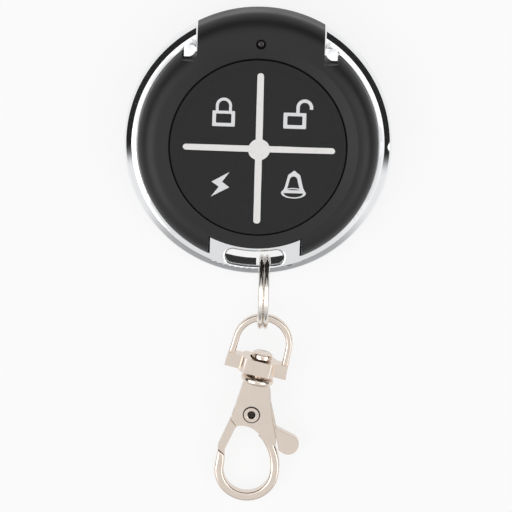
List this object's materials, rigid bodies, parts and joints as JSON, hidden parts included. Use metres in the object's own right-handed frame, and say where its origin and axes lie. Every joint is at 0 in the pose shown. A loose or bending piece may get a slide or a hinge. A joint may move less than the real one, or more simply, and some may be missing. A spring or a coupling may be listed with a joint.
{
  "type": "garage door remote",
  "caption": "Round four-button garage door remote with a bright metal frame, a lug with a split ring, and a swivelling trigger snap hook for a key ring or bag.",
  "frame": {"origin": "centre of the flat back face of the remote, under the centre of its round frame", "axes": "+Z out of the button face, +Y towards the indicator lamp and away from the split ring, +X to the right when the buttons are read"},
  "size_m": [0.0522, 0.0981, 0.0147],
  "materials": {
    "shell_black": "moulded black plastic, satin gloss",
    "frame_chrome": "bright chrome plating",
    "keypad_rubber": "matte black silicone rubber",
    "ring_steel": "polished nickel-plated spring steel",
    "clasp_nickel": "polished warm nickel plating",
    "spring_steel": "plain spring wire",
    "board_green": "green laminate",
    "lamp_case": "pale moulded lamp body",
    "lens_smoke": "dark tinted clear plastic",
    "chip_black": "matte moulding compound",
    "can_steel": "plain steel",
    "contact_steel": "nickel-plated strip",
    "screw_steel": "dark zinc-plated steel",
    "switch_case": "matte black plastic",
    "switch_button": "pale plastic"
  },
  "bodies": {
    "remote": {"front_shell": "shell_black", "rear_shell": "shell_black", "metal_ring": "frame_chrome", "keypad_mat": "keypad_rubber", "switch_lock": "switch_case", "switch_unlock": "switch_case", "switch_light": "switch_case", "switch_alarm": "switch_case", "circuit_board": "board_green", "lamp": "lamp_case", "lamp_lens": "lens_smoke", "encoder_chip": "chip_black", "resonator": "can_steel", "small_parts": "chip_black", "coin_cell": "can_steel", "contact_positive": "contact_steel", "contact_negative": "contact_steel", "case_screws": "screw_steel"},
    "key_lock": {"key_lock": "keypad_rubber", "plunger_lock": "switch_button"},
    "key_unlock": {"key_unlock": "keypad_rubber", "plunger_unlock": "switch_button"},
    "key_light": {"key_light": "keypad_rubber", "plunger_light": "switch_button"},
    "key_alarm": {"key_alarm": "keypad_rubber", "plunger_alarm": "switch_button"},
    "split_ring": {"split_ring": "ring_steel"},
    "eye": {"swivel_eye": "clasp_nickel"},
    "snap_hook": {"hook": "clasp_nickel", "swivel_pin": "clasp_nickel", "gate_rivet": "clasp_nickel", "gate_spring": "spring_steel"},
    "trigger": {"gate_lever": "clasp_nickel"}
  },
  "joints": [
    {"name": "press_lock", "type": "slide", "parent": "remote", "child": "key_lock", "axis": [0, 0, -1], "range_m": [0, 0.0005], "stiffness_N_per_m": 2000},
    {"name": "press_unlock", "type": "slide", "parent": "remote", "child": "key_unlock", "axis": [0, 0, -1], "range_m": [0, 0.0005], "stiffness_N_per_m": 2000},
    {"name": "press_light", "type": "slide", "parent": "remote", "child": "key_light", "axis": [0, 0, -1], "range_m": [0, 0.0005], "stiffness_N_per_m": 2000},
    {"name": "press_alarm", "type": "slide", "parent": "remote", "child": "key_alarm", "axis": [0, 0, -1], "range_m": [0, 0.0005], "stiffness_N_per_m": 2000},
    {"name": "ring_swing", "type": "hinge", "parent": "remote", "child": "split_ring", "pos_m": [0.002, -0.0254, 0.0067], "axis": [1, 0, 0], "range_deg": [-25, 45]},
    {"name": "eye_swing", "type": "hinge", "parent": "split_ring", "child": "eye", "pos_m": [0.002, -0.03461, 0.00659], "axis": [1, 0, 0], "range_deg": [-60, 60]},
    {"name": "hook_spin", "type": "hinge", "parent": "eye", "child": "snap_hook", "pos_m": [0.0026, -0.0399, 0.00587], "axis": [0.1753, 0.9744, 0.1409], "continuous": true},
    {"name": "trigger_pivot", "type": "hinge", "parent": "snap_hook", "child": "trigger", "pos_m": [0.0004, -0.05419, 0.00381], "axis": [-0.025, -0.1387, 0.99], "range_deg": [0, 25], "stiffness_Nm_per_rad": 0.02, "springref_deg": -17.19, "deforming": ["gate_spring"]}
  ]
}
